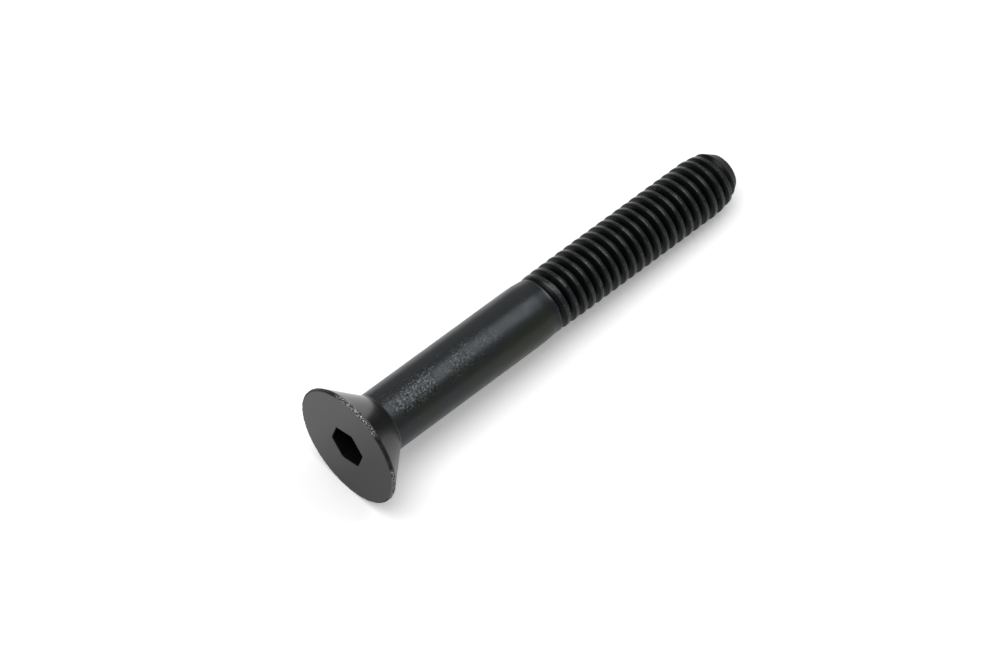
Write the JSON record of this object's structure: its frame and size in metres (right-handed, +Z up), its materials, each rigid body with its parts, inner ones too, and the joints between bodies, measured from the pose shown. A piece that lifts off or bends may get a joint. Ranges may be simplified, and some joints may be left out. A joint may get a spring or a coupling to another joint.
{
  "type": "flat head socket screw",
  "caption": "Flat countersunk head screw with a hexagon socket, a plain shank and a coarse rolled right-hand thread, in black oxide steel, lying at rest",
  "frame": {"origin": "centre of the box round the lying screw, at the height of the surface it lies on", "axes": "+X runs along the screw from its head to its point, +Z is up, and +Y is to the left seen from the head; the screw's axis lies in the XZ plane and dips 4 degrees below +X, because the screw rests on the rim of its head and on its thread"},
  "size_m": [0.064, 0.016, 0.0159],
  "materials": {
    "black_oxide_steel": "satin black oxide, lightly oiled"
  },
  "bodies": {
    "root": {"flat_head_socket_screw": "black_oxide_steel"}
  },
  "joints": []
}
